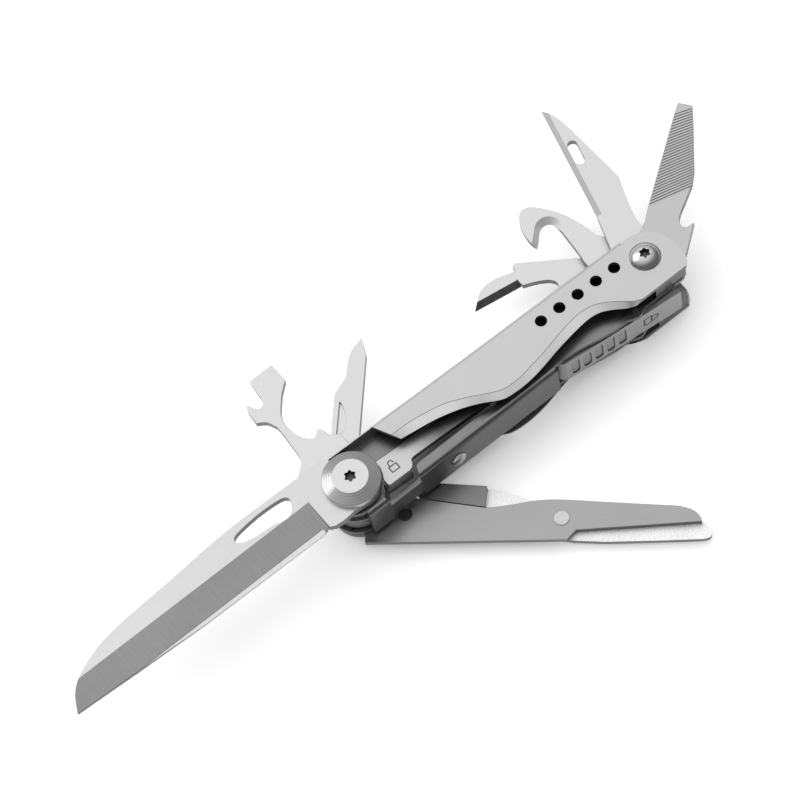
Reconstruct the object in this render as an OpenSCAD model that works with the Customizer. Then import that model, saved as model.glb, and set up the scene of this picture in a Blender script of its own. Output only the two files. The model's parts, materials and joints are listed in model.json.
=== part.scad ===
// Folding multi tool with one handle.
// A U-shaped channel carries small tools on a pivot at each end. A lock blade folds into a slot on the
// front of the channel and scissors fold into a slot on its back. Sizes are in millimetres.
// Origin: axis of the main pivot, in the plane of the back face that the closed tool rests on.
// +X runs along the handle, +Y is the side on which the small tools swing out, +Z leaves the front face.

/* [Stack] */
// Thickness of each outer scale
scale_t = 1.2; // [1:0.1:1.4]
// Depth of the front slot that the knife folds into
front_slot = 3.8; // [3.6:0.1:4.2]
// Depth of the back slot that the scissors fold into
back_slot = 3.8; // [3.8:0.1:4.2]
// Outside thickness of the channel
channel_t = 12; // [12:0.2:13]
// Sheet thickness of the channel
sheet_t = 1.2; // [1:0.1:1.2]

/* [Handle] */
// Distance between the two pivots
pivot_gap = 92.5; // [92:0.5:96]
// How far the tool pivot lies below the axis of the main pivot
pivot_drop = 1.3; // [1:0.1:1.6]
// Outer face of the channel's web, below the main axis
web_y = 9.2; // [9:0.1:9.6]
// Radius of the pivot barrels
barrel_r = 2.5; // [2.2:0.1:2.6]
// Radial running clearance on the barrels
fit = 0.05; // [0.03:0.01:0.08]
// Diameter of the five holes in each scale
scale_hole_d = 3.1; // [2.5:0.1:3.5]
// Radius of the large pivot discs
disc_r = 7.4; // [7:0.1:7.4]

/* [Blades] */
// Thickness of the main knife
knife_t = 2; // [1.6:0.1:2.1]
// Thickness of each small tool
tool_t = 1.9; // [1.6:0.1:1.9]
// Thickness of each scissors leaf
shear_t = 1.5; // [1.2:0.1:1.5]

/* [Rest pose] */
// Direction of the bottle opener from the main pivot
opener_at = 90; // [60:5:120]
// Direction of the screwdriver from the main pivot
driver_at = 50; // [20:5:120]
// Direction of the small knife from the tool pivot
pen_at = 80; // [60:5:100]
// Direction of the strap hook from the tool pivot
hook_at = 110; // [90:5:120]
// Direction of the can opener from the tool pivot
can_at = 140; // [120:5:160]
// Direction of the file from the tool pivot
file_at = 35; // [20:5:50]
// Direction of the scissors from the main pivot
shears_at = -44; // [-60:2:-30]
// Tilt of the rocker lock while it is pressed
lever_tilt = 5.7; // [5:0.1:6]

/* [Hidden] */
$fn = 64;

steel = [0.80, 0.80, 0.79];
bright = [0.88, 0.88, 0.87];
dark_steel = [0.42, 0.42, 0.43];
frosted = [0.74, 0.74, 0.73];
eps = 0.01;

// Heights of the layers, from the back face up
back_in = scale_t;
channel_lo = back_in + back_slot;
inside_lo = channel_lo + sheet_t;
channel_hi = channel_lo + channel_t;
inside_hi = channel_hi - sheet_t;
front_in = channel_hi + front_slot;
front_z = front_in + scale_t;
half_z = front_z / 2;

// Layers of the small tools
layer_gap = (inside_hi - inside_lo - 4 * tool_t) / 5;
function layer(i) = inside_lo + layer_gap + i * (tool_t + layer_gap);
can_z = layer(0);
hook_z = layer(1);
pen_z = layer(2);
file_z = layer(3);
driver_t = 1.8;
driver_z = inside_lo + 0.7;
opener_z = driver_z + driver_t + 0.3;

// Layers of the outside blades
knife_z = channel_hi + 0.5;
plate_top = channel_lo - 0.3;
plate_z = plate_top - shear_t;
under_z = plate_z - 0.1 - shear_t;

// Places in the plan
main_pivot = [0, 0];
tool_pivot = [pivot_gap, -pivot_drop];
web_in = web_y - sheet_t;
bend_r = 1.5;
web_left = -1.8;
web_right = 57.4;
handle_right = pivot_gap + 7.8;
wall_t = 0.5;
wall_left = -1;
pin_at = [pivot_gap - 10.2, -9.5];
pin_r = 0.9;
tang_r = 7;
leaf_root = 41;
leaf_lift = 2.4;
leaf_gap = 7.7;
tang_main_r = 7.35;
edge_round = 2;
back_leaf_sink = 0.19;

// Points along an arc about c
function arc(c, r, from, to, n = 10) =
    [for (i = [0 : n]) let (a = from + (to - from) * i / n) c + r * [cos(a), sin(a)]];

// One point of a smooth curve between b and c, where a and d are the points before and after
function blend_at(a, b, c, d, t) =
    0.5 * (2 * b + (c - a) * t + (2 * a - 5 * b + 4 * c - d) * t * t + (3 * b - a - 3 * c + d) * t * t * t);

// Smooth curve through a list of points
function curve(p, n = 5) = [
    for (i = [0 : len(p) - 2])
        for (j = [0 : n - 1])
            blend_at(p[max(i - 1, 0)], p[i], p[i + 1], p[min(i + 2, len(p) - 1)], j / n),
    p[len(p) - 1]
];

// Turns a flat part about a pivot in the plan
module at_pivot(p, angle) {
    translate([p[0], p[1], 0]) rotate([0, 0, angle]) children();
}

// Flat plate from a plan outline
module plate(outline, z, t) {
    translate([0, 0, z]) linear_extrude(t) polygon(outline);
}

// Ring or disc, from z up
module disc(r, z, t) {
    translate([0, 0, z]) cylinder(r = r, h = t);
}

// Hole right through the handle
module bore(r) {
    translate([0, 0, -5]) cylinder(r = r, h = front_z + 10);
}

module ring(r, z, t) {
    difference() {
        disc(r, z, t);
        bore(barrel_r + fit);
    }
}

// Six-lobed driver socket, cut down from z
module socket(z, r = 1.55, deep = 1.4) {
    lobes = [for (a = [0 : 10 : 350]) (r - 0.22 + 0.22 * cos(6 * a)) * [cos(a), sin(a)]];
    translate([0, 0, z - deep]) linear_extrude(deep + 1) polygon(lobes);
}

// ---- Handle ----

// Upper edge of the handle, which falls a little towards the tool pivot
top_fall = 0.017;
function top_y(x) = 8.1 - top_fall * x;

// Lower edge of the scales, which waves in and out so that a thumb reaches the blades
wave = [
    [15.8, 0.2], [20, -0.4], [25, -1.2], [30, -2.5], [34, -4], [37, -5.5], [40, -7.3], [42.5, -8.3],
    [47, -8.6], [51, -8.3], [55, -7.6], [60, -6.5], [66, -5.5], [71, -5], [74.5, -5.5], [77.5, -7.1],
    [80, -8.9], [82.5, -10]
];
// The rest of the scale's edge: round the tool pivot and back along the top
scale_end = concat(
    curve([
        [handle_right - 1.8, -10], [handle_right - 0.1, -8], [handle_right + 0.2, -5.5],
        [handle_right + 0.1, -2.4], [pivot_gap + 7.3, 0.4], [pivot_gap + 6.1, 2.5], [pivot_gap + 4.4, 4.1],
        [pivot_gap + 2.5, 5], [pivot_gap + 0.5, 5.5], [pivot_gap - 2.2, 5.7]
    ], 3),
    [[pivot_gap - 3, top_y(pivot_gap - 3)], [11.8, top_y(11.8)], [14.5, 2.2]]
);
// Line where the flare of that edge starts, with a point beyond each end
flare = [
    [11, 3], [14.5, 2.2], [20, 2], [25, 1.2], [30, 0], [35, -2.3], [38, -4], [41, -5.6], [43.5, -6.5],
    [48, -6.6], [52, -6], [56, -5.3], [60, -4.4], [65, -3.3], [70, -2.7], [74, -3.2], [77, -4.7],
    [80, -7], [83, -9.4], [88, -11.5]
];
// Foot of the flare, point for point, a little off the edge's own points
flare_foot = [for (p = concat([[11.6, 1]], wave, [[87.5, -13]])) p + [0.23, -0.03]];

// Metal taken off above the flare
module flare_cut() {
    drop = scale_t - 0.2;
    over = 0.3;
    inner = curve(flare, 4);
    outer = curve(flare_foot, 4);
    n = len(inner);
    points = concat(
        [for (i = [0 : n - 1]) concat(inner[i] + over * (inner[i] - outer[i]), front_z + over * drop)],
        [for (i = [0 : n - 1]) concat(outer[i] + over * (outer[i] - inner[i]), front_z - (1 + over) * drop)],
        [for (i = [0 : n - 1]) concat(outer[i] + over * (outer[i] - inner[i]), front_z + 2)],
        [for (i = [0 : n - 1]) concat(inner[i] + over * (inner[i] - outer[i]), front_z + 2)]
    );
    sides = [
        for (k = [0 : 3]) for (i = [0 : n - 2]) for (half = [0, 1])
            let (a = k * n + i, b = (k + 1) % 4 * n + i)
                half == 0 ? [a, b, a + 1] : [a + 1, b, b + 1]
    ];
    polyhedron(points, concat([[3 * n, 2 * n, n, 0]], sides, [[n - 1, 2 * n - 1, 3 * n - 1, 4 * n - 1]]));
}

// Takes the sharp corner off the bent upper edge
module edge_rounding() {
    length = pivot_gap - 0.4;
    translate([wall_left - 1, top_y(wall_left - 1), front_z]) rotate([0, 0, atan(-top_fall)])
        translate([0, -edge_round, -edge_round]) rotate([0, 90, 0]) difference() {
            translate([-edge_round - 1, 0, 0]) cube([edge_round + 1, edge_round + 1, length]);
            translate([0, 0, -1]) cylinder(r = edge_round + 0.03, h = length + 2);
        }
}

// Scale as it lies on the front
module scale_body() {
    wall_right = pivot_gap - 3.5;
    wall_out = 0.02;
    wall_in = wall_out + wall_t;
    difference() {
        union() {
            plate(concat(curve(wave, 4), scale_end), front_in, scale_t);
            plate([
                [wall_left, top_y(wall_left) - wall_out], [wall_right, top_y(wall_right) - wall_out],
                [wall_right, top_y(wall_right) - wall_in], [wall_left, top_y(wall_left) - wall_in]
            ], channel_hi, front_z - 1 - channel_hi);
        }
        flare_cut();
        edge_rounding();
        for (i = [0 : 4]) {
            translate([61.7 + 5.75 * i, 2 - 0.15 * i, front_in - 1])
                cylinder(d = scale_hole_d, h = scale_t + 2);
        }
    }
}

// Same scale on the back
module on_back() {
    translate([0, 0, front_z]) mirror([0, 0, 1]) children();
}

module front_scale() {
    color(steel) difference() {
        scale_body();
        at_pivot(tool_pivot, 0) bore(1.6);
    }
}

module back_scale() {
    color(steel) difference() {
        on_back() scale_body();
        at_pivot(tool_pivot, 0) translate([0, 0, -eps])
            cylinder(r1 = 4.05, r2 = 2.85, h = scale_t + 2 * eps);
    }
}

module spacer(z, t) {
    outline = concat(
        [[pivot_gap - 3.8, 6.4], [pivot_gap - 3.8, -9.9]],
        [[handle_right - 2, -9.9], [handle_right - 0.8, -8], [handle_right - 0.8, -3]],
        [[pivot_gap + 6, 0.8], [pivot_gap + 3.4, 3.8], [pivot_gap, 6]]
    );
    difference() {
        plate(outline, z, t);
        at_pivot(tool_pivot, 0) bore(barrel_r + fit);
    }
}

module front_spacer() {
    color(steel) spacer(channel_hi, front_slot);
}

module back_spacer() {
    color(steel) spacer(back_in, back_slot);
}

// Outline of a flange of the channel, with round ends and an ear for the lever pin
flange_top = [
    [0, top_y(0)], [pivot_gap - 4.5, top_y(pivot_gap - 4.5)], [pivot_gap, 5.7], [pivot_gap + 4, 3.4],
    [pivot_gap + 6.2, 0.4], [pivot_gap + 6.6, -3], [pivot_gap + 6.6, -7.8], [pivot_gap + 6.2, -9.1],
    [pivot_gap + 5.3, -9.9], [pivot_gap + 4.2, -10.1]
];
ear = [
    [pin_at[0] + 2.8, -10], [pin_at[0] + 1.6, -10.5], [pin_at[0], -11.1], [pin_at[0] - 1.6, -10.7],
    [pin_at[0] - 2.8, -10.1]
];
flange_low = [[75, -9.9], [71, -9.3], [65.5, -8.3], [61.5, -7.9], [web_right + 1.6, -7.7]];
flange = concat(
    arc(main_pivot, 8.1, 247, 94, 14), flange_top, curve(ear, 4), curve(flange_low, 3),
    [[web_left, -(web_y - bend_r)]]
);

// Leaf cut from a flange, its root on the right. Its left end rounds the tang of the blade
leaf_outline = concat(
    arc(main_pivot, leaf_gap, -34, -12, 4), [[7.6, -1.4], [7.7, 0.6]],
    [[26, -0.1], [leaf_root, -0.7], [leaf_root, -4.8], [32, -4.5], [24, -4.3], [15.6, -4.2]],
    [[14.8, -4.5], [14.3, -5.6], [13.7, -6.3], [12.8, -6.6], [6.9, -6.6], [6.3, -6.3], [6.3, -4.8]]
);
// Opening around the leaf: a narrow slit above it, a wide one below, and the thumb notch
leaf_window = concat(
    [[3.8, -7.8], [4.3, -6.5]], arc(main_pivot, 7, -58, 8, 7), [[8.2, 1.3]],
    [[26, 0.5], [leaf_root, -0.2], [leaf_root + 0.25, -0.7], [leaf_root + 0.25, -5.4]],
    [[40.1, -6.2], [38.4, -6.3], [37.4, -5.8], [31.8, -5.8], [15.8, -5.9], [14.9, -6.2], [14.3, -7.8]]
);

module flange_plate(z) {
    difference() {
        plate(flange, z, sheet_t);
        plate(leaf_window, z - 1, sheet_t + 2);
        for (p = [main_pivot, tool_pivot]) {
            at_pivot(p, 0) bore(barrel_r + fit);
        }
        at_pivot(pin_at, 0) bore(pin_r + fit);
    }
}

// Quarter bend between a flange and the web, along X
module bend(z, up) {
    length = web_right - web_left;
    translate([web_left, -(web_y - bend_r), z]) rotate([0, 90, 0]) difference() {
        cylinder(r = bend_r, h = length);
        translate([0, 0, -1]) cylinder(r = bend_r - sheet_t, h = length + 2);
        translate([-5, 0, -1]) cube([10, 5, length + 2]);
        translate([up > 0 ? 0 : -5, -5, -1]) cube([5, 10, length + 2]);
    }
}

// The notches for a thumb run over both bends into the web
module thumb_notch(z) {
    plate([[3.8, -7.7], [4.4, -9.4], [5.2, -12], [13.2, -12], [13.9, -9.4], [14.3, -7.7]], z, 5);
}

module channel_frame() {
    color(dark_steel) difference() {
        union() {
            flange_plate(channel_lo);
            flange_plate(inside_hi);
            bend(channel_hi - bend_r, 1);
            bend(channel_lo + bend_r, -1);
            translate([web_left, -web_y, channel_lo + bend_r])
                cube([web_right - web_left, sheet_t, channel_t - 2 * bend_r]);
        }
        thumb_notch(channel_hi - 3.2);
        thumb_notch(channel_lo - 5 + 3.2);
        rivet_bore();
    }
}

// ---- Pivots ----

// Face and height of the cone on each large disc
face_r = 4.55;
cone_h = 1.6;
// Shanks of the two screws, which go a few millimetres down into the hollow barrels
shank_r = 1.5;
shank_low = 10;
hollow_low = 9;

module main_barrel() {
    wall_hi = plate_z - fit;
    color(bright) difference() {
        union() {
            cylinder(r1 = face_r, r2 = disc_r, h = cone_h);
            disc(disc_r, cone_h, wall_hi - cone_h);
            disc(barrel_r, wall_hi - eps, knife_z + knife_t - wall_hi);
        }
        disc(shank_r + fit, hollow_low, front_z);
    }
}

module main_bolt() {
    z = knife_z + knife_t + fit;
    rim = 1.35;
    color(bright) difference() {
        union() {
            disc(shank_r, shank_low, z - shank_low + eps);
            disc(disc_r, z, rim);
            translate([0, 0, z + rim]) cylinder(r1 = disc_r, r2 = face_r, h = cone_h);
        }
        socket(z + rim + cone_h);
    }
}

// Its flush head is riveted into the countersink of the back scale
module tool_barrel() {
    color(bright) at_pivot(tool_pivot, 0) difference() {
        union() {
            cylinder(r1 = 4, r2 = 2.8, h = scale_t);
            disc(barrel_r, scale_t - eps, front_in - scale_t - 0.1);
        }
        disc(shank_r + fit, hollow_low, front_z);
    }
}

// Domed button screw
module tool_screw() {
    head = 2.1;
    head_r = 4.05;
    round_r = (head_r * head_r + head * head) / (2 * head);
    low = asin((round_r - head) / round_r);
    color(bright) at_pivot(tool_pivot, 0) difference() {
        union() {
            disc(shank_r, shank_low, front_z - shank_low + eps);
            translate([0, 0, front_z]) rotate_extrude()
                polygon(concat([[0, 0]], arc([0, head - round_r], round_r, low, 90, 8)));
        }
        socket(front_z + head, 1.5, 1.6);
    }
}

module knife_washer() {
    color(steel) ring(6, channel_hi + fit, 0.4);
}

module scissors_washer() {
    color(steel) ring(6, plate_top + fit, 0.2);
}

module main_bushes() {
    color(steel) {
        ring(4.5, inside_lo + fit, driver_z - inside_lo - 2 * fit);
        ring(4.5, driver_z + driver_t + fit, opener_z - driver_z - driver_t - 2 * fit);
        ring(4.5, opener_z + tool_t + fit, inside_hi - opener_z - tool_t - 2 * fit);
    }
}

module tool_washers() {
    color(steel) at_pivot(tool_pivot, 0) for (i = [0 : 4]) {
        ring(5, inside_lo + i * (tool_t + layer_gap) + fit, layer_gap - 2 * fit);
    }
}

// ---- Springs and locks ----

rivet_x = 25.2;
rivet_r = 1;
spring_t = 0.7;

// Turns a part about an upright axis so that it stands out of the web at height y
module on_web(y) {
    translate([rivet_x, y, half_z]) rotate([90, 0, 0]) children();
}

module rivet_bore() {
    on_web(0) cylinder(r = rivet_r + fit, h = 20);
}

// Leaf inside the web that bears on the tangs of the two tools at the main pivot
module tool_spring() {
    color(steel) difference() {
        translate([-1.5, -web_in, driver_z])
            cube([rivet_x + 4, spring_t, opener_z + tool_t - driver_z]);
        rivet_bore();
    }
}

module web_rivet() {
    color(bright) {
        on_web(spring_t - web_in) cylinder(r = rivet_r, h = web_y - web_in + spring_t + 0.2);
        on_web(-web_y) rotate_extrude()
            polygon([[0, 0], [2.2, 0], [2.1, 0.3], [1.7, 0.6], [1, 0.8], [0, 0.85]]);
    }
}

module lever_pin() {
    color(bright) at_pivot(pin_at, 0) disc(pin_r, channel_lo, channel_t);
}

// Tilts a liner lock's leaf out of its flange about its root
module tilt_leaf(z, tilt) {
    middle = z + sheet_t / 2;
    translate([leaf_root, 0, middle]) rotate([0, tilt, 0]) translate([-leaf_root, 0, -middle]) children();
}

module front_leaf_lock() {
    curl = [
        [6.7, inside_hi + eps], [5.8, 15], [5.8, 12.4], [13.2, 11.7], [13.7, 12.6], [13.4, inside_hi + eps]
    ];
    color(steel) tilt_leaf(inside_hi, leaf_lift) {
        plate(leaf_outline, inside_hi, sheet_t);
        translate([0, -5.6, 0]) rotate([90, 0, 0]) linear_extrude(1) polygon(curl);
    }
}

module back_leaf_lock() {
    color(steel) tilt_leaf(channel_lo, back_leaf_sink) plate(leaf_outline, channel_lo, sheet_t);
}

// Rocker in the open end of the web. Its left end is pressed in, its right end carries the lug
module rocker_lock() {
    width = 8.6;
    low = half_z - width / 2;
    face_y = -10.7;
    back_y = -9.4;
    lug = [[90.6, back_y], [91.4, -8.38], [93.6, -8.38], [94.3, back_y]];
    profile = concat([[58.6, back_y], [58.6, -9.5], [60.4, face_y], [95, face_y], [95, back_y]],
        [lug[3], lug[2], lug[1], lug[0]], [[pin_at[0] + 3, back_y]],
        arc(pin_at, 1.75, 30, 150, 8), [[pin_at[0] - 3, back_y]]);
    color(dark_steel) at_pivot(pin_at, -lever_tilt) translate([-pin_at[0], -pin_at[1], 0]) difference() {
        plate(profile, low, width);
        at_pivot(pin_at, 0) bore(pin_r + fit);
        for (i = [0 : 4]) {
            translate([63.1 + 3.5 * i, face_y + 0.3, half_z]) rotate([90, 0, 0]) linear_extrude(2)
                offset(r = 0.6) square([0.8, 4.6], center = true);
        }
    }
}

// ---- Main knife and scissors ----

spine = [
    [-86.9, -4.4], [-85.8, -2.2], [-84.3, 0.2], [-82, 2.3], [-78, 4.4], [-72, 6.4], [-64, 7.5], [-50, 8.4],
    [-38, 9.4], [-28, 9.8], [-16, 9.6], [-3, 9.4]
];
knife_outline = concat(
    curve(spine, 4), [[-1.8, 9.1], [-1.3, 8.2]], arc(main_pivot, tang_main_r, 100, -106, 24),
    [[-4.4, -6.8], [-6, -7], [-8, -7.1], [-10.2, -6.9], [-12, -6], [-13.5, -6.7], [-50, -6.3], [-70, -5.3]]
);
thumb_hole = concat(
    curve([[-31.6, 5.7], [-31, 7], [-28, 7.7], [-22, 8.1], [-17, 7.8], [-15.1, 7.2], [-14.6, 6.2], [-15.2, 4.6],
        [-16.2, 3.3], [-18, 2.5], [-20, 2.8], [-22, 3.4], [-27, 3.8], [-30.2, 4.6]], 4)
);

// Takes the metal above a plane that falls away from y0 towards the edge, on one face
module grind(y0, z, slope, x0, x1, side) {
    translate([x0, y0, z]) mirror([0, 0, side > 0 ? 0 : 1]) rotate([slope, 0, 0])
        translate([0, -30, 0]) cube([x1 - x0, 30, 6]);
}

module main_knife() {
    plunge = -11.6;
    color(bright) difference() {
        plate(knife_outline, knife_z, knife_t);
        plate(thumb_hole, knife_z - 1, knife_t + 2);
        bore(barrel_r + fit);
        for (side = [-1, 1]) {
            face = knife_z + (side > 0 ? knife_t : 0);
            grind(2.5, face, 4.1, -100, plunge, side);
            grind(-5.3, face - side * 0.56, 14, -100, -13, side);
        }
    }
}

scissors_pin = [50.5, -1];
body_outline = concat(
    [[2.4, -10.1], [52.2, -6.6], [54.3, -3.9], [84.9, 0]],
    curve([[84.6, 0.9], [83.4, 2.3], [81.4, 3.3], [79, 3.8]], 3),
    curve([[61, 3.9], [50.4, 4], [45, 3.6], [41, 2.8], [36, 1.6], [31.3, 0.8]], 3),
    [[14.8, 2.3], [10, 3.6]], arc(main_pivot, tang_main_r, 55, 286, 26)
);
blade_outline = concat(
    curve([[31.3, 6.6], [33.4, 6.3], [35.6, 5.7], [38.4, 5], [42, 4.2], [46, 3.6]], 3),
    arc(scissors_pin, 4.4, 100, 10, 6), [[56, -1.6], [85.2, 0.2]],
    curve([[86.6, -0.9], [87.4, -2.2], [87, -3.5], [85.4, -4.1]], 3),
    [[74.4, -5.1], [61.5, -6.1], [53.5, -6.2]],
    curve([[50, -5.9], [45, -4.6], [38, -1.6], [31.3, 1]], 3)
);
tail_outline = concat(
    [[31.3, 1.05], [31.3, 6.6]],
    curve([[30.9, 6.7], [24, 6.8], [18, 6.8], [15.6, 6.4], [14.3, 5.2], [14.2, 3.6], [14.8, 2.7]], 3)
);

module scissors_body() {
    color(steel) at_pivot(main_pivot, shears_at) difference() {
        plate(body_outline, plate_z, shear_t);
        bore(barrel_r + fit);
        at_pivot(scissors_pin, 0) bore(1.2 + fit);
        translate([11.6, -2, plate_top - 0.6]) cylinder(r = 1.8, h = 2);
        at_pivot([54.3, -3.9], 7.3) translate([0, 0, plate_z]) rotate([-52, 0, 0])
            translate([0, -3, -3]) cube([35, 3, 3]);
    }
}

module scissors_rivet() {
    color(bright) at_pivot(main_pivot, shears_at) at_pivot(scissors_pin, 0) {
        disc(1.2, under_z, plate_top - under_z);
        disc(1.95, plate_top, 0.22);
        disc(1.95, under_z - 0.25, 0.25);
    }
}

module scissors_blade() {
    color(frosted) at_pivot(main_pivot, shears_at) difference() {
        union() {
            plate(blade_outline, under_z, shear_t);
            plate(tail_outline, under_z, plate_top - under_z);
        }
        at_pivot(scissors_pin, 0) bore(1.2 + fit);
    }
}

// Bent leaf on the scissors' body whose free end bears on the tail of the blade
module scissors_spring() {
    strip = concat(curve([[17, -3.4], [24, -3.6], [29, -2.6], [32.6, -0.3]], 4),
        curve([[31.9, 0.4], [28.4, -1.8], [24, -2.7], [17, -2.5]], 4));
    low = under_z + 0.2;
    color(steel) at_pivot(main_pivot, shears_at) {
        plate(strip, low, plate_z - low);
        translate([17, -2.95, low]) cylinder(r = 1.8, h = plate_z - low);
    }
}

// ---- Small tools ----

// Radius of the tangs at the main pivot, which the spring in the web bears on
spring_tang_r = 7.2;

opener_outline = concat(
    [[42.8, 1.5], [42.8, -5.6], [37, -5.7]],
    curve([[34.5, -2.7], [31, 0.3], [28.6, 1.5], [26, 1.8], [23, 1.4], [20.5, 0.1], [19.2, -1.5]], 3),
    [[19.9, -2.6], [20.8, -3.4], [19.8, -4.4], [17.6, -4.9], [15.8, -7.1], [10, -7.1]],
    arc(main_pivot, spring_tang_r, -70, -268, 16), [[9, 7.6], [13.8, 7.8]],
    curve([[16, 5.2], [17.5, 4.5], [21, 4.2], [27, 3.8], [29, 4.3], [30.8, 5.2], [32.2, 7.2]], 3),
    [[36.3, 6.9], [37.9, 6.2], [37.2, 5.6]],
    curve([[35.6, 5], [35, 4.1], [35.3, 2.9], [36.5, 2.2], [38, 2]], 3)
);

module bottle_opener() {
    color(steel) at_pivot(main_pivot, opener_at) difference() {
        plate(opener_outline, opener_z, tool_t);
        bore(barrel_r + fit);
        translate([42.9, 0, opener_z + tool_t]) rotate([0, 24, 0]) translate([0, -10, -6]) cube([3, 20, 8]);
    }
}

driver_outline = concat(
    [[44.5, 0.9], [41.7, 0], [39.6, -0.6], [19.3, 0.2], [13, 0.3], [8, -4.6]],
    arc(main_pivot, spring_tang_r, -40, -292, 18),
    curve([
        [9, 7.2], [17.9, 7.4], [25.3, 7.2], [28.5, 7.1], [30.1, 6.4], [31.9, 5.3], [33.7, 4.4], [36.7, 4.2],
        [39.9, 3.7], [42, 2.7]
    ], 3)
);

module screwdriver() {
    nick = concat([[17.7, 6.1], [26.6, 5.7]],
        curve([[25.8, 5], [23.3, 4.1], [20.6, 3.8], [18.6, 4.2], [17.9, 4.9]], 3));
    color(steel) at_pivot(main_pivot, driver_at) difference() {
        plate(driver_outline, driver_z, driver_t);
        bore(barrel_r + fit);
        plate(nick, driver_z + driver_t - 0.5, 2);
    }
}

// Notch on a tang that the lug of the rocker drops into when the tool is open
module lock_notch() {
    translate([-1.2, -tang_r - 1, 0]) cube([2.4, 1.9, front_z]);
}

pen_outline = concat(
    curve([[55.9, -0.7], [53, -2.4], [49.7, -3.7], [44, -4.9], [38.4, -6], [32, -7.2]], 3),
    curve([[27.8, -7.9], [25.7, -7.4], [21, -6.4], [15.4, -5.6], [12.8, -5.8]], 3), [[5, -5]],
    arc([0, 0], tang_r, -60, -300, 18), [[11, 4.2], [20.9, 2.5]]
);

module small_knife() {
    slot = concat(arc([42.4, -2.4], 1.35, -90, 90, 8), arc([37.6, -1.9], 1.35, 90, 270, 8));
    edge = atan2(-3.2, 35);
    color(steel) at_pivot(tool_pivot, pen_at) difference() {
        plate(pen_outline, pen_z, tool_t);
        plate(slot, pen_z - 1, tool_t + 2);
        bore(barrel_r + fit);
        lock_notch();
        for (side = [-1, 1]) {
            at_pivot([20.9, 2.5], edge) mirror([0, 1, 0])
                grind(1.3, pen_z + (side > 0 ? tool_t : 0), 32, 0, 40, side);
        }
    }
}

hook_outline = concat(
    curve([
        [29.3, 5.6], [31.5, 5.2], [34.2, 3.8], [36.7, 1.8], [37.9, -0.2], [37.9, -2], [36.6, -3.5],
        [33.3, -4.7], [28.6, -5.6], [23.4, -5.5], [17.4, -4.5]
    ], 3),
    [[15.3, -5], [12.4, -4.6], [5.5, -4.4]], arc([0, 0], tang_r, -60, -305, 18), [[11.5, 5.3]],
    curve([
        [16.1, 3.7], [18.7, 2.2], [23.2, 0], [27.8, -2.1], [29.8, -2.4], [30.9, -1.5], [31.4, 0],
        [30.9, 1.8], [29.7, 4.2]
    ], 3)
);

module strap_hook() {
    mouth_r = 1.9;
    bevel_w = 1.6;
    color(steel) at_pivot(tool_pivot, hook_at) difference() {
        plate(hook_outline, hook_z, tool_t);
        bore(barrel_r + fit);
        lock_notch();
        // Ground bevel round the inside of the mouth and along the point
        at_pivot([29.3, -0.3], 112) translate([0, 0, hook_z]) {
            cylinder(r1 = mouth_r, r2 = mouth_r + bevel_w, h = tool_t);
            translate([0, -mouth_r - bevel_w, tool_t]) rotate([-atan(tool_t / bevel_w), 0, 0])
                cube([8, 3, 4]);
        }
    }
}

can_outline = concat(
    curve([
        [43.9, 6.5], [43.3, 4.4], [42.9, 2.4], [42, 0.7], [40.5, -0.9], [38.3, -2.3], [35.2, -3.4], [33.7, -4.2]
    ], 3),
    [[34.5, -5.6], [33.9, -6.4], [18.3, -7.3], [10, -6.6], [5, -4.9]],
    arc([0, 0], tang_r, -60, -318, 18), [[9, 4.4], [18, 3.6]],
    curve([[22.3, 1.2], [22.9, -0.4], [24.5, -1.2], [27, -1.1], [29.4, -0.6], [31.7, 0.1]], 3), [[32.1, -0.5]]
);

module can_opener() {
    color(steel) at_pivot(tool_pivot, can_at) difference() {
        plate(can_outline, can_z, tool_t);
        bore(barrel_r + fit);
        lock_notch();
        at_pivot([32.4, -0.6], 31) mirror([0, 1, 0])
            translate([0, 1.2, can_z + tool_t]) rotate([50, 0, 0]) translate([0, -8, 0]) cube([20, 8, 4]);
    }
}

file_outline = concat(
    [[49, 4.7], [49, 0.8], [45.6, -0.3], [30.5, -4.5], [26.2, -5.1]],
    curve([[20.5, -4.6], [17.2, -4.3], [15, -4.6], [13.8, -5.7], [13.9, -6.9], [15.6, -8.3]], 3),
    [[6.4, -8.7], [3.2, -6.1]], arc([0, 0], tang_r, -66, -322, 18),
    [[9.5, 4.4], [13.1, 3.9], [17.2, 4.2], [45, 4.7]]
);

module file() {
    color(steel) at_pivot(tool_pivot, file_at) difference() {
        plate(file_outline, file_z, tool_t);
        bore(barrel_r + fit);
        lock_notch();
        for (side = [-1, 1]) {
            translate([45.2, -10, file_z + (side > 0 ? tool_t : 0)]) mirror([0, 0, side > 0 ? 0 : 1])
                rotate([0, 9, 0]) cube([8, 20, 3]);
        }
    }
}

channel_frame();
front_scale();
back_scale();
front_spacer();
back_spacer();
main_barrel();
main_bolt();
tool_barrel();
tool_screw();
knife_washer();
scissors_washer();
main_bushes();
tool_washers();
tool_spring();
web_rivet();
lever_pin();
front_leaf_lock();
back_leaf_lock();
rocker_lock();
main_knife();
scissors_body();
scissors_rivet();
scissors_spring();
scissors_blade();
bottle_opener();
screwdriver();
small_knife();
strap_hook();
can_opener();
file();
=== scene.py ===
"""Looks of the folding multi tool: metal finishes, icons, softened edges, floor, lights and camera."""

import json
import math

import bmesh
import bpy
from mathutils import Matrix, Vector
from mathutils.bvhtree import BVHTree


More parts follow.
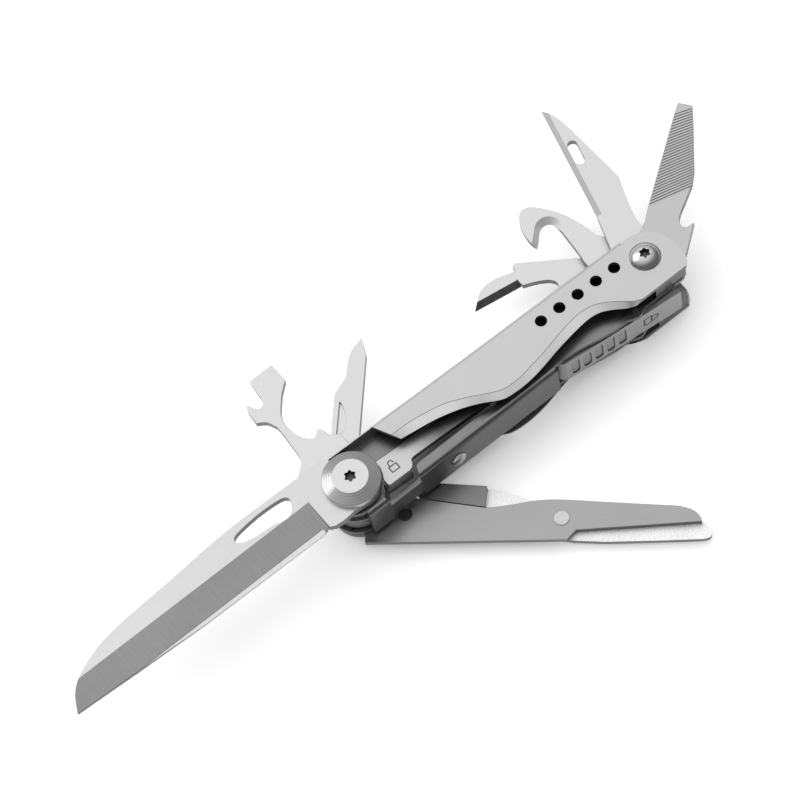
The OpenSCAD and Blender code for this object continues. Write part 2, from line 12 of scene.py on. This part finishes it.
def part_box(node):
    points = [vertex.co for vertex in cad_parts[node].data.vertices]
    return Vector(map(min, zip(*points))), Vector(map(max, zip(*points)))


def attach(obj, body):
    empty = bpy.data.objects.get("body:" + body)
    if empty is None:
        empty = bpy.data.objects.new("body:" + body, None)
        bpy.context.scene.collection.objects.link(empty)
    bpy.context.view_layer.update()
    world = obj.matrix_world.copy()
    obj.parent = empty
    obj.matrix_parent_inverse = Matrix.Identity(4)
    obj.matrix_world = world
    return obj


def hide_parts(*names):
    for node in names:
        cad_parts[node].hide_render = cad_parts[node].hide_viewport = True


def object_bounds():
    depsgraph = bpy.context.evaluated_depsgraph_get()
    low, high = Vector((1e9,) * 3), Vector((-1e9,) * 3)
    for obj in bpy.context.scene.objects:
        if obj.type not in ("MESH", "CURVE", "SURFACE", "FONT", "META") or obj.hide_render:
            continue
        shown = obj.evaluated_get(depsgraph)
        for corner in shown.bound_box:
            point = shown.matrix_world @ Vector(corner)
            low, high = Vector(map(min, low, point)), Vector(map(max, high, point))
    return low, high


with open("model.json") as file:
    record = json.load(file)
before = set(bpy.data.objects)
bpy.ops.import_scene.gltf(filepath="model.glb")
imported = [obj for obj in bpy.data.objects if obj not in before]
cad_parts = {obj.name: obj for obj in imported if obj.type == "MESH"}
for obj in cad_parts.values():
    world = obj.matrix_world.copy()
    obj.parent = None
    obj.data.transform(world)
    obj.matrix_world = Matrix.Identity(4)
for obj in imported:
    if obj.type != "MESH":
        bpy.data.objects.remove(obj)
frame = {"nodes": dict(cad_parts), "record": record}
cad_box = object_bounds()
MM = 0.001
BODIES = frame["record"]["behaviour"]["bodies"]
NODE_BODY = {n: b for b, nodes in BODIES.items() for n in nodes}


def link(name, data):
    """A new object in the scene."""
    obj = bpy.data.objects.new(name, data)
    bpy.context.collection.objects.link(obj)
    return obj


# ---- Camera: far away and long, looking down on the front face from the web's side ----

CAMERA_RIGHT = Vector((0.78155, -0.61164, -0.12276))
CAMERA_UP = Vector((0.59754, 0.67744, 0.42898))
CAMERA_PLACE = Vector((-110.342, -293.315, 682.387)) * MM


def make_camera():
    """The camera at CAMERA_PLACE, its sides along CAMERA_RIGHT and CAMERA_UP."""
    back = CAMERA_RIGHT.cross(CAMERA_UP)
    turn = Matrix((CAMERA_RIGHT, CAMERA_UP, back)).transposed()
    data = bpy.data.cameras.new("camera")
    data.sensor_width = 36
    data.lens = 135
    data.clip_start = 0.05
    data.clip_end = 20
    cam = link("camera", data)
    cam.matrix_world = Matrix.Translation(CAMERA_PLACE) @ turn.to_4x4()
    bpy.context.scene.camera = cam


make_camera()


# ---- Material helpers ----

BUMP_DEPTH = 0.0001    # metres


def new_material(name):
    """A material with nothing but a shader and its output."""
    mat = bpy.data.materials.new(name)
    mat.use_nodes = True
    mat.node_tree.nodes.clear()
    out = mat.node_tree.nodes.new("ShaderNodeOutputMaterial")
    shader = mat.node_tree.nodes.new("ShaderNodeBsdfPrincipled")
    mat.node_tree.links.new(shader.outputs[0], out.inputs[0])
    return mat, mat.node_tree, shader


def add(tree, kind, **values):
    """A node with its sockets set by name."""
    node = tree.nodes.new(kind)
    for key, value in values.items():
        node.inputs[key].default_value = value
    return node


def ramp(tree, source, low, high, at):
    """Turns a factor into a grey, from low to high over the stretch that at gives."""
    node = tree.nodes.new("ShaderNodeValToRGB")
    start, stop = node.color_ramp.elements
    start.position = at[0]
    stop.position = at[1]
    start.color = (low, low, low, 1)
    stop.color = (high, high, high, 1)
    tree.links.new(source, node.inputs[0])
    return node.outputs[0]


def map_range(tree, source, start, stop, low, high):
    """Carries the stretch from start to stop onto the one from low to high."""
    node = tree.nodes.new("ShaderNodeMapRange")
    node.inputs["From Min"].default_value = start
    node.inputs["From Max"].default_value = stop
    node.inputs["To Min"].default_value = low
    node.inputs["To Max"].default_value = high
    tree.links.new(source, node.inputs["Value"])
    return node


def mix(tree, a, b, factor, blend):
    """Mixes two colours."""
    node = tree.nodes.new("ShaderNodeMix")
    node.data_type = "RGBA"
    node.blend_type = blend
    node.inputs["Factor"].default_value = factor
    tree.links.new(a, node.inputs["A"])
    tree.links.new(b, node.inputs["B"])
    return node.outputs["Result"]


def bump_from(tree, source, strength, shader):
    """Raises the surface a little where the source is high."""
    lift = add(tree, "ShaderNodeBump", Strength=strength, Distance=BUMP_DEPTH)
    tree.links.new(source, lift.inputs["Height"])
    tree.links.new(lift.outputs[0], shader.inputs["Normal"])


def coords(tree, scale, centre=(0, 0, 0), turn=0.0):
    """Object coordinates, moved, turned about Z and stretched, for grain that runs one way."""
    where = tree.nodes.new("ShaderNodeTexCoord")
    shift = tree.nodes.new("ShaderNodeMapping")
    shift.vector_type = "TEXTURE"
    shift.inputs["Location"].default_value = centre
    shift.inputs["Rotation"].default_value = (0, 0, turn)
    tree.links.new(where.outputs["Object"], shift.inputs[0])
    stretch = tree.nodes.new("ShaderNodeMapping")
    stretch.inputs["Scale"].default_value = scale
    tree.links.new(shift.outputs[0], stretch.inputs[0])
    return stretch.outputs[0]


# ---- Finishes ----

PATCH_SCALE = 90.0     # slow unevenness, per metre
PATCH_SHARE = 0.35
ROUGH_SPREAD = 0.05
RING_SCALE = 520.0     # turned rings, per metre
STREAKS_AT = (0.3, 0.7)
PATCHES_AT = (0.2, 0.8)


def metal(name, grey, rough, grain, turn=0.0, contrast=0.02, bump=0.02, metallic=1.0):
    """Steel with a fine directional grain and a slow unevenness."""
    mat, tree, shader = new_material(name)
    fine = add(tree, "ShaderNodeTexNoise", Scale=1.0, Detail=4.0, Roughness=0.6)
    tree.links.new(coords(tree, grain, turn=turn), fine.inputs["Vector"])
    slow = add(tree, "ShaderNodeTexNoise", Scale=PATCH_SCALE, Detail=3.0)
    where = tree.nodes.new("ShaderNodeTexCoord")
    tree.links.new(where.outputs["Object"], slow.inputs["Vector"])
    streaks = ramp(tree, fine.outputs["Fac"], grey - contrast, grey + contrast, STREAKS_AT)
    patches = ramp(tree, slow.outputs["Fac"], grey - contrast, grey + contrast, PATCHES_AT)
    tree.links.new(mix(tree, streaks, patches, PATCH_SHARE, "MIX"), shader.inputs["Base Color"])
    smooth = rough - ROUGH_SPREAD
    spread = map_range(tree, fine.outputs["Fac"], *STREAKS_AT, smooth, rough + ROUGH_SPREAD)
    tree.links.new(spread.outputs[0], shader.inputs["Roughness"])
    bump_from(tree, fine.outputs["Fac"], bump, shader)
    shader.inputs["Metallic"].default_value = metallic
    return mat


def paint_shadow_along_x(mat, start, stop, depth):
    """Paints a shadow along X by darkening a finish: its own grey at start, that times depth from stop on
    (metres).
    """
    tree = mat.node_tree
    shader = next(n for n in tree.nodes if n.type == "BSDF_PRINCIPLED")
    colour = shader.inputs["Base Color"].links[0].from_socket
    where = tree.nodes.new("ShaderNodeTexCoord")
    axes = tree.nodes.new("ShaderNodeSeparateXYZ")
    tree.links.new(where.outputs["Object"], axes.inputs[0])
    level = map_range(tree, axes.outputs["X"], start, stop, 1.0, depth)
    shadowed = mix(tree, colour, level.outputs[0], 1.0, "MULTIPLY")
    tree.links.new(shadowed, shader.inputs["Base Color"])
    return mat


def turned(name, grey, rough, axis, ring_depth, bump):
    """Lathe-turned steel: fine rings about an axis along Z."""
    mat, tree, shader = new_material(name)
    wave = add(tree, "ShaderNodeTexWave", Scale=RING_SCALE, Distortion=0.0, Detail=0.0)
    wave.wave_type = "RINGS"
    wave.rings_direction = "Z"
    tree.links.new(coords(tree, (1, 1, 1), (axis.x, axis.y, 0)), wave.inputs["Vector"])
    rings = ramp(tree, wave.outputs["Color"], grey - ring_depth, grey + ring_depth, (0, 1))
    tree.links.new(rings, shader.inputs["Base Color"])
    bump_from(tree, wave.outputs["Fac"], bump, shader)
    shader.inputs["Roughness"].default_value = rough
    shader.inputs["Metallic"].default_value = 1.0
    return mat


def middle_of(node):
    """Middle of a CAD node's box."""
    low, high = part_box(node)
    return (low + high) / 2


TOOL_AXIS = middle_of("tool_barrel")
MAIN_AXIS = middle_of("main_bolt")
SHEARS_TURN = math.radians(-44)
FILE_TURN = math.radians(35)
# Grain: how finely a finish varies along X, Y and Z, per metre.
SATIN = (2000, 2000, 2000)
FINE_SATIN = (1500, 1500, 1500)
ALONG_X = (250, 2500, 2500)
ALONG_SHEARS = (300, 2200, 2200)
ACROSS = (2500, 300, 300)
# Painted shadow of the scale on the leaf lock: where along X it starts and ends, and the share of the grey
# left in it.
LEAF_SHADOW = (0.0155, 0.025, 0.3)    # from, to, and the share of the grey that is left
MATS = {
    "scale": metal("satin_scale", 0.4, 0.42, FINE_SATIN, bump=0.03),
    # Walls of the plates and tools are darker grey: painted shade, which gives dark outlines.
    "wall_shade": metal("wall_painted_shade", 0.17, 0.42, (1800, 1800, 300), contrast=0.03, bump=0.05),
    # Near-black for screw sockets, the scissors' recess floor and crease lines: painted shade.
    "hollow": metal("socket_painted_shade", 0.07, 0.4, FINE_SATIN),
    # The scale's flared lip is lighter than its flat: painted highlight.
    "lip": metal("lip_painted_highlight", 0.6, 0.4, FINE_SATIN, bump=0.03),
    # The channel frame's web and flange are darker grey than the scales: painted shade.
    "channel": metal("channel_steel_painted_shade", 0.122, 0.34, ALONG_X, contrast=0.015),
    "flange": metal("flange_steel_painted_shade", 0.17, 0.32, ALONG_X),
    "blade": metal("blade_flat", 0.445, 0.34, (2500, 300, 1500)),
    "grind": metal("blade_grind", 0.19, 0.36, (3500, 120, 120), contrast=0.025, bump=0.06),
    "edge": metal("blade_edge", 0.5, 0.3, (3000, 200, 200), contrast=0.05),
    "tool": metal("tool_satin", 0.46, 0.36, SATIN),
    # The strap hook's bevel: lighter and less metallic than the other ground faces, painted light.
    "ground_painted_light": metal("ground_painted_light", 0.62, 0.5, ACROSS, contrast=0.03, metallic=0.35),
    # Floors of the lever's rib recesses, a little darker than the lever: painted shade.
    "pocket": metal("rib_pocket_painted_shade", 0.27, 0.38, SATIN),
    "ground": metal("tool_ground", 0.36, 0.3, ACROSS, contrast=0.03),
    "file": metal("file_flat", 0.365, 0.38, SATIN),
    # Drops of the file's teeth: near black, painted shade.
    "tooth": metal("file_groove_painted_shade", 0.05, 0.45, SATIN, contrast=0.01),
    "plate": metal("scissors_plate", 0.27, 0.34, ALONG_SHEARS, turn=SHEARS_TURN, contrast=0.015),
    "frosted": metal("scissors_frost", 0.66, 0.5, (2600, 2600, 2600), contrast=0.22, bump=0.2),
    "tail": metal("scissors_tail", 0.155, 0.34, ALONG_SHEARS, turn=SHEARS_TURN, contrast=0.015),
    # The leaf lock darkens along X towards the scale: painted shadow.
    "lock": paint_shadow_along_x(metal("lock_satin_painted_shadow", 0.41, 0.36, SATIN), *LEAF_SHADOW),
    "rocker": metal("rocker_satin", 0.3, 0.38, SATIN),
    "part": metal("machined", 0.4, 0.32, FINE_SATIN, contrast=0.05),
    "ink": metal("etched_mark", 0.03, 0.6, FINE_SATIN, contrast=0.01, metallic=0.3),
    "turned": turned("turned_disc", 0.46, 0.28, MAIN_AXIS, 0.015, 0.02),
    # The cone round the main bolt's disc is a darker copy of the turned finish: painted shade.
    "cone": turned("turned_cone_painted_shade", 0.31, 0.2, MAIN_AXIS, 0.025, 0.04),
    "button": turned("turned_button", 0.4, 0.2, TOOL_AXIS, 0.012, 0.005),
}


# ---- Softened copies of the CAD parts ----

WELD = 1e-6    # metres
FLAT_WITHIN = math.radians(0.4)
SHARP_FROM = math.radians(24)
BEVEL_FROM = math.radians(40)
# A line of painted shade between the two finishes with these places in a node's list, and its half width in
# metres.
SHADE_LINES = {"lip": ({0, 1}, 0.00007), "pocket": ({0, 2}, 0.00018)}


def soften(node, finishes, width, pick):
    """A welded copy of a CAD node with softened edges, its finishes chosen face by face."""
    mesh = frame["nodes"][node].data.copy()
    mesh.name = node + "_soft"
    mesh.materials.clear()
    for name in finishes:
        mesh.materials.append(MATS[name])
    bm = bmesh.new()
    bm.from_mesh(mesh)
    bmesh.ops.remove_doubles(bm, verts=bm.verts, dist=WELD)
    bmesh.ops.dissolve_limit(bm, angle_limit=FLAT_WITHIN, verts=bm.verts, edges=bm.edges)
    for face in bm.faces:
        face.material_index = pick(face.normal, face.calc_center_median() / MM) if pick else 0
        face.smooth = True
    # Each crease is bevelled into a narrow face in the near-black finish: a painted line of shade.
    for finish, (pair, shade_half) in SHADE_LINES.items():
        if finish in finishes:
            crease = [e for e in bm.edges if {f.material_index for f in e.link_faces} == pair]
            dark = finishes.index("hollow")
            bmesh.ops.bevel(bm, geom=crease, offset=shade_half, segments=1, affect="EDGES", material=dark)
    for edge in bm.edges:
        edge.smooth = edge.calc_face_angle(0) < SHARP_FROM
    bm.to_mesh(mesh)
    bm.free()
    obj = link(node + "_soft", mesh)
    bevel = obj.modifiers.new("bevel", "BEVEL")
    bevel.width = width
    bevel.segments = 2
    bevel.limit_method = "ANGLE"
    bevel.angle_limit = BEVEL_FROM
    bevel.use_clamp_overlap = True
    weighted = obj.modifiers.new("normals", "WEIGHTED_NORMAL")
    weighted.keep_sharp = True
    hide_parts(node)
    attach(obj, NODE_BODY[node])


# ---- Pickers: a face's place in its node's list of finishes, from its normal and its middle in mm ----

UPRIGHT = 75           # degrees of lean from which a face is a wall
FLAT_LEAN = 5
KNIFE_FLAT_LEAN = 2
KNIFE_GROUND_LEAN = 8
KNIFE_EDGE_LEAN = 25


def lean_of(normal):
    """Degrees between a face and the plan: 0 for a flat, 90 for an upright wall."""
    return math.degrees(math.acos(min(abs(normal.z), 1)))


def along_shears(point):
    """A point in the scissors' own frame, with X along them."""
    return Matrix.Rotation(-SHEARS_TURN, 3, "Z") @ point


def knife_face(normal, _):
    """Flat, ground plane (a few degrees), cutting edge (about fourteen), wall."""
    lean = lean_of(normal)
    if lean < KNIFE_FLAT_LEAN:
        return 0
    if lean < KNIFE_GROUND_LEAN:
        return 1
    return 2 if lean < KNIFE_EDGE_LEAN else 3


def leaning_face(normal, _):
    """Flat, ground plane, wall."""
    lean = lean_of(normal)
    if lean < FLAT_LEAN:
        return 0
    return 1 if lean < UPRIGHT else 2


RECESS_X = 11.6
RECESS_Y = -2
RECESS_REACH = 1.9
RECESS_DEEPEST = 1
RECESS_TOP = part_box("scissors_body")[1].z / MM - 0.3


def shears_face(normal, centre):
    """As leaning_face, with the wall (1) and the floor (3) of the round recess near the pivot, the floor
    painted dark as the shade in the recess.
    """
    local = along_shears(centre)
    inside = math.hypot(local.x - RECESS_X, local.y - RECESS_Y) < RECESS_REACH
    is_wall = abs(normal.z) < 0.5
    if inside and (centre.z < RECESS_TOP or is_wall) and centre.z > RECESS_TOP - RECESS_DEEPEST:
        return 1 if is_wall else 3
    return leaning_face(normal, centre)


HEAD_FROM = 20         # height above which a screw is its head
SOCKET_FLOOR = 23.1
SOCKET_REACH = 1.7
CONE_LEANS = (20, 40)


def socket_face(axis, cone):
    """A picker for a screw: its head (0), its socket (1), painted dark as the shade in it, and the cone
    round its face.
    """
    def pick(normal, centre):
        near = math.hypot(centre.x - axis.x / MM, centre.y - axis.y / MM) < SOCKET_REACH
        is_wall = abs(normal.z) < 0.3
        is_floor = centre.z < SOCKET_FLOOR and normal.z > 0.9
        if near and centre.z > HEAD_FROM and (is_wall or is_floor):
            return 1
        return cone if not near and CONE_LEANS[0] < lean_of(normal) < CONE_LEANS[1] else 0
    return pick


LEVER_TILT = math.radians(-5.7)
LEVER_OUT = Vector((math.sin(LEVER_TILT), -math.cos(LEVER_TILT), 0))
LEVER_PIN = Vector((82.3, -9.5, 11))
LEVER_FACE = 1.2       # from the pin's axis to the outer face
RIB_DEPTHS = (0.01, 0.5)
RIBS_TO = 80
RIB_HALF = 3.2


def rocker_face(normal, centre):
    """Face of the lever, floor of a rib (a darker grey, painted shade), wall of a rib."""
    depth = LEVER_FACE - (centre - LEVER_PIN).dot(LEVER_OUT)
    in_rib = RIB_DEPTHS[0] < depth < RIB_DEPTHS[1]
    if not (in_rib and centre.x < RIBS_TO and abs(centre.z - LEVER_PIN.z) < RIB_HALF):
        return 0
    return 1 if normal.dot(LEVER_OUT) > 0.9 else 2


LIP_LEAN = 10
LIP_TO = 4


def lip_face(normal, centre):
    """Flat of the scale, flared lip on its lower edge in a lighter grey as painted highlight, wall (3)."""
    lean = lean_of(normal)
    if lean > UPRIGHT:
        return 3
    return 1 if lean > LIP_LEAN and centre.y < LIP_TO else 0


def flange_face(normal, _):
    """Web and bends, flange; both in darker steel, painted shade."""
    return 1 if abs(normal.z) > 0.9 else 0


TAIL_TO = 31.35


def tail_face(normal, centre):
    """Frosted blade, darker tail beside the scissors' body, wall."""
    if lean_of(normal) > UPRIGHT:
        return 2
    return 1 if along_shears(centre).x < TAIL_TO else 0


# ---- Which part gets what: its finishes, the width of its softened edges in metres, and its picker ----

SHEET_EDGE = 0.00014
TOOL_EDGE = 0.00012
RIVET_EDGE = 0.00008
SCREW_EDGE = 0.00006
TOOL = (["tool", "ground", "wall_shade"], TOOL_EDGE, leaning_face)
SCALE = (["scale", "lip", "hollow", "wall_shade"], TOOL_EDGE, lip_face)
LEAF = (["lock"], SHEET_EDGE, None)
RIVET = (["part"], RIVET_EDGE, None)
SOFTENED = {
    "channel_frame": (["channel", "flange"], SHEET_EDGE, flange_face),
    "front_scale": SCALE,
    "back_scale": SCALE,
    "main_bolt": (["turned", "hollow", "cone"], RIVET_EDGE, socket_face(MAIN_AXIS, 2)),
    "tool_screw": (["button", "hollow"], SCREW_EDGE, socket_face(TOOL_AXIS, 0)),
    "front_leaf_lock": LEAF,
    "back_leaf_lock": LEAF,
    "rocker_lock": (["rocker", "pocket", "hollow"], SHEET_EDGE, rocker_face),
    "main_knife": (["blade", "grind", "edge", "wall_shade"], TOOL_EDGE, knife_face),
    "scissors_body": (["plate", "ground", "wall_shade", "hollow"], TOOL_EDGE, shears_face),
    "scissors_blade": (["frosted", "tail", "wall_shade"], TOOL_EDGE, tail_face),
    "scissors_rivet": RIVET,
    "web_rivet": RIVET,
    "bottle_opener": TOOL,
    "screwdriver": TOOL,
    "small_knife": (["tool", "grind", "wall_shade"], TOOL_EDGE, leaning_face),
    "strap_hook": (["tool", "ground_painted_light", "wall_shade"], TOOL_EDGE, leaning_face),
    "can_opener": TOOL,
    "file": (["file", "ground", "wall_shade"], TOOL_EDGE, leaning_face),
}
# Parts that keep the CAD mesh, by finish.
PLAIN = {
    # The spacers and main barrel take the channel's darker grey: painted shade.
    "channel": ["front_spacer", "back_spacer", "main_barrel"],
    "part": ["tool_barrel", "knife_washer", "scissors_washer", "main_bushes", "tool_washers", "tool_spring",
             "lever_pin", "scissors_spring"],
}
for finish, node_names in PLAIN.items():
    for node_name in node_names:
        target = frame["nodes"][node_name]
        target.data.materials.clear()
        target.data.materials.append(MATS[finish])
for node_name, (finishes, width, pick) in SOFTENED.items():
    soften(node_name, finishes, width, pick)


# ---- Marks, laid on the CAD faces ----

# Heights above the face, mm.
MARK_TOP = 0.02
MARK_FOOT = -0.1
DROP_FROM = 5


def surface_of(node):
    """A CAD node's surface, for dropping points onto it."""
    bm = bmesh.new()
    bm.from_mesh(frame["nodes"][node].data)
    tree = BVHTree.FromBMesh(bm)
    bm.free()
    return tree


def solid_mesh(name, verts, faces):
    """A mesh of closed bodies, with every face turned outwards."""
    mesh = bpy.data.meshes.new(name)
    mesh.from_pydata([tuple(v) for v in verts], [], faces)
    bm = bmesh.new()
    bm.from_mesh(mesh)
    bmesh.ops.recalc_face_normals(bm, faces=bm.faces)
    bm.to_mesh(mesh)
    bm.free()
    return mesh


def ribbon(points, half, closed):
    """Left and right sides of a stroke along a line of points, with mitred corners."""
    sides = []
    count = len(points)
    for i, p in enumerate(points):
        before = points[(i - 1) % count] if closed or i > 0 else None
        after = points[(i + 1) % count] if closed or i < count - 1 else None
        a = (p - before).normalized() if before is not None else (after - p).normalized()
        b = (after - p).normalized() if after is not None else a
        middle = (a + b).normalized()
        across = Vector((-middle.y, middle.x)) * half / max(middle.dot(a), 0.5)
        sides.append((p + across, p - across))
    return sides


def mark(name, strokes, origin, right, up, inward, node, body):
    """Strokes in millimetres, dropped onto a CAD node and raised a hair above it."""
    tree = surface_of(node)
    verts = []
    faces = []
    for points, closed, half in strokes:
        pairs = ribbon([Vector(p) for p in points], half, closed)
        first = len(verts)
        for pair in pairs:
            for side in pair:
                start = (origin + right * side.x + up * side.y - inward * DROP_FROM) * MM
                hit = tree.ray_cast(start, inward)[0]
                verts += [hit - inward * MARK_TOP * MM, hit - inward * MARK_FOOT * MM]
        steps = len(pairs) if closed else len(pairs) - 1
        for i in range(steps):
            a = first + 4 * i
            b = first + 4 * ((i + 1) % len(pairs))
            faces += [(a, b, b + 2, a + 2), (a + 1, a + 3, b + 3, b + 1)]
            faces += [(a, a + 1, b + 1, b), (a + 2, b + 2, b + 3, a + 3)]
        if not closed:
            last = first + 4 * (len(pairs) - 1)
            faces += [(first, first + 2, first + 3, first + 1), (last, last + 1, last + 3, last + 2)]
    mesh = solid_mesh(name, verts, faces)
    mesh.materials.append(MATS["ink"])
    obj = link(name, mesh)
    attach(obj, body)


def padlock(is_open, scale, half):
    """A plain padlock: a box and a shackle, whose right foot stays up when it is open."""
    shackle = 0.7
    foot = 0.55 if is_open else 0.1
    turns = [math.radians(t) for t in range(180, -1, -20)]
    bow = [(shackle * math.cos(t), 0.85 + shackle * math.sin(t)) for t in turns]
    body = [(-1.1, -1.5), (1.1, -1.5), (1.1, 0.1), (-1.1, 0.1)]
    strokes = [(body, True), ([(-shackle, 0.1)] + bow + [(shackle, foot)], False)]
    return [([(x * scale, y * scale) for x, y in points], closed, half) for points, closed in strokes]


X = Vector((1, 0, 0))
Y = Vector((0, 1, 0))
Z = Vector((0, 0, 1))
LEAF_MARK = Vector((10.3, -2.9, 20))
LEVER_MARK = Vector((85.6, -14, 11))
OPEN_SIGN = padlock(True, 1.0, 0.14)
CLOSED_SIGN = padlock(False, 1.35, 0.21)
mark("open_padlock", OPEN_SIGN, LEAF_MARK, X, Y, -Z, "front_leaf_lock", "front_leaf")
mark("closed_padlock", CLOSED_SIGN, LEVER_MARK, Z, X, Y, "rocker_lock", "rocker")


# ---- File teeth: the file's own frame, X along it from the tool pivot, in millimetres ----

UPPER_EDGE = [(16, 4.0), (46, 4.5)]
LOWER_EDGE = [(14.0, -4.5), (20.5, -4.4), (26.2, -4.9), (30.5, -4.3), (45.6, -0.1), (49, 1)]
FIRST_ROW = ((17.2, 4.2), (24.6, -4.6))
LAST_ROW = ((45.1, 4.7), (47.9, 0.5))
ROWS = 30
SLOPE_SHARE = 0.58     # of a row, that its long slope takes
# Heights above the face.
CREST = 0.12
FOOT = 0.005
ROOT = -0.05
# Corners of a tooth's faces: the slope, the drop, then the underside and the ends.
# The drop of each tooth takes the near-black finish: painted shade.
SHADED_QUAD = 1
TOOTH_QUADS = [
    (4, 5, 6, 7), (7, 6, 10, 11), (0, 3, 2, 1), (3, 9, 8, 2), (0, 1, 5, 4), (9, 11, 10, 8),
    (1, 2, 6, 5), (2, 8, 10, 6), (0, 4, 7, 3), (3, 7, 11, 9),
]


def between(a, b, share):
    """The point that lies this share of the way from a to b."""
    return tuple(p + (q - p) * share for p, q in zip(a, b))


def crossing(p, q, line):
    """Where the straight line through p and q meets a broken line."""
    for (ax, ay), (bx, by) in zip(line, line[1:]):
        d = (q[0] - p[0]) * (by - ay) - (q[1] - p[1]) * (bx - ax)
        t = ((ax - p[0]) * (q[1] - p[1]) - (ay - p[1]) * (q[0] - p[0])) / d
        if -1e-6 <= t <= 1 + 1e-6:
            return between((ax, ay), (bx, by), t)
    raise ValueError("a file tooth misses the outline")


def line_ends(i):
    """Where line i, counted from the root, crosses the two edges of the file."""
    p = between(FIRST_ROW[0], LAST_ROW[0], i / ROWS)
    q = between(FIRST_ROW[1], LAST_ROW[1], i / ROWS)
    return crossing(p, q, UPPER_EDGE), crossing(p, q, LOWER_EDGE)


def file_teeth():
    """Rows of slanting teeth on both faces of the file: a long light slope and a short drop painted near
    black as the shade in each row.
    """
    ends = [line_ends(i) for i in range(ROWS + 1)]
    low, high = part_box("file")
    spin = Matrix.Rotation(FILE_TURN, 3, "Z")
    verts = []
    faces = []
    kinds = []
    for face_z, way in ((high.z / MM, 1), (low.z / MM, -1)):
        for (t0, l0), (t1, l1) in zip(ends, ends[1:]):
            tm = between(t0, t1, SLOPE_SHARE)
            lm = between(l0, l1, SLOPE_SHARE)
            base = len(verts)
            corners = [(*t0, ROOT), (*l0, ROOT), (*lm, ROOT), (*tm, ROOT), (*t0, FOOT), (*l0, FOOT)]
            corners += [(*lm, CREST), (*tm, CREST), (*l1, ROOT), (*t1, ROOT), (*l1, FOOT), (*t1, FOOT)]
            for x, y, z in corners:
                pivot = Vector((TOOL_AXIS.x / MM, TOOL_AXIS.y / MM, face_z + way * z))
                verts.append((spin @ Vector((x, y, 0)) + pivot) * MM)
            for k, quad in enumerate(TOOTH_QUADS):
                faces.append(tuple(base + c for c in quad))
                kinds.append(1 if k == SHADED_QUAD else 0)
    mesh = solid_mesh("file_teeth", verts, faces)
    mesh.materials.append(MATS["file"])
    mesh.materials.append(MATS["tooth"])
    for polygon, kind in zip(mesh.polygons, kinds):
        polygon.material_index = kind
    obj = link("file_teeth", mesh)
    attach(obj, NODE_BODY["file"])


file_teeth()


# ---- Floor and light ----

FLOOR_HALF = 3.0
FLOOR_DROP = 0.0002
FLOOR_GLOW = 0.22
PAPER_SCALE = 300.0
KEY_PLACE = Vector((-0.6, 0.85, 0.8))
KEY_SIZE = 0.9
KEY_POWER = 5
BRIGHT_TOWARDS = (0.05, 0.45, 0.89)
# The tent's light rises from the first strength to the second over this stretch of the direction's cosine.
TENT_STRETCH = (0.2, 0.92)
TENT_LIGHT = (0.25, 1.6)


def make_floor():
    """A pale sheet of paper with a faint glow, which keeps the shadow light."""
    low = cad_box[0][2] - FLOOR_DROP
    corners = [(-1, -1), (1, -1), (1, 1), (-1, 1)]
    mesh = bpy.data.meshes.new("floor")
    mesh.from_pydata([(x * FLOOR_HALF, y * FLOOR_HALF, low) for x, y in corners], [], [(0, 1, 2, 3)])
    floor = link("floor", mesh)
    mat, tree, shader = new_material("floor_paper")
    noise = add(tree, "ShaderNodeTexNoise", Scale=PAPER_SCALE, Detail=2.0)
    paper = ramp(tree, noise.outputs["Fac"], 0.93, 0.95, (0.35, 0.65))
    tree.links.new(paper, shader.inputs["Base Color"])
    shader.inputs["Roughness"].default_value = 0.9
    shader.inputs["Specular IOR Level"].default_value = 0.1
    shader.inputs["Emission Color"].default_value = (1, 1, 1, 1)
    shader.inputs["Emission Strength"].default_value = FLOOR_GLOW
    mesh.materials.append(mat)


def make_world():
    """A white tent, bright overhead and behind, dim low down in front."""
    world = bpy.data.worlds.new("studio")
    world.use_nodes = True
    tree = world.node_tree
    where = tree.nodes.new("ShaderNodeTexCoord")
    facing = tree.nodes.new("ShaderNodeVectorMath")
    facing.operation = "DOT_PRODUCT"
    facing.inputs[1].default_value = BRIGHT_TOWARDS
    tree.links.new(where.outputs["Generated"], facing.inputs[0])
    level = map_range(tree, facing.outputs["Value"], *TENT_STRETCH, *TENT_LIGHT)
    level.interpolation_type = "SMOOTHSTEP"
    back = tree.nodes["Background"]
    back.inputs[0].default_value = (1, 1, 1, 1)
    tree.links.new(level.outputs[0], back.inputs[1])
    bpy.context.scene.world = world


def make_key():
    """One large soft light, high on the left and behind, aimed at the main pivot."""
    data = bpy.data.lights.new("key", "AREA")
    data.shape = "SQUARE"
    data.size = KEY_SIZE
    data.energy = KEY_POWER
    light = link("key", data)
    light.location = KEY_PLACE
    light.rotation_euler = KEY_PLACE.to_track_quat("Z", "Y").to_euler()


make_floor()
make_world()
bpy.context.scene.view_settings.view_transform = "Standard"
make_key()
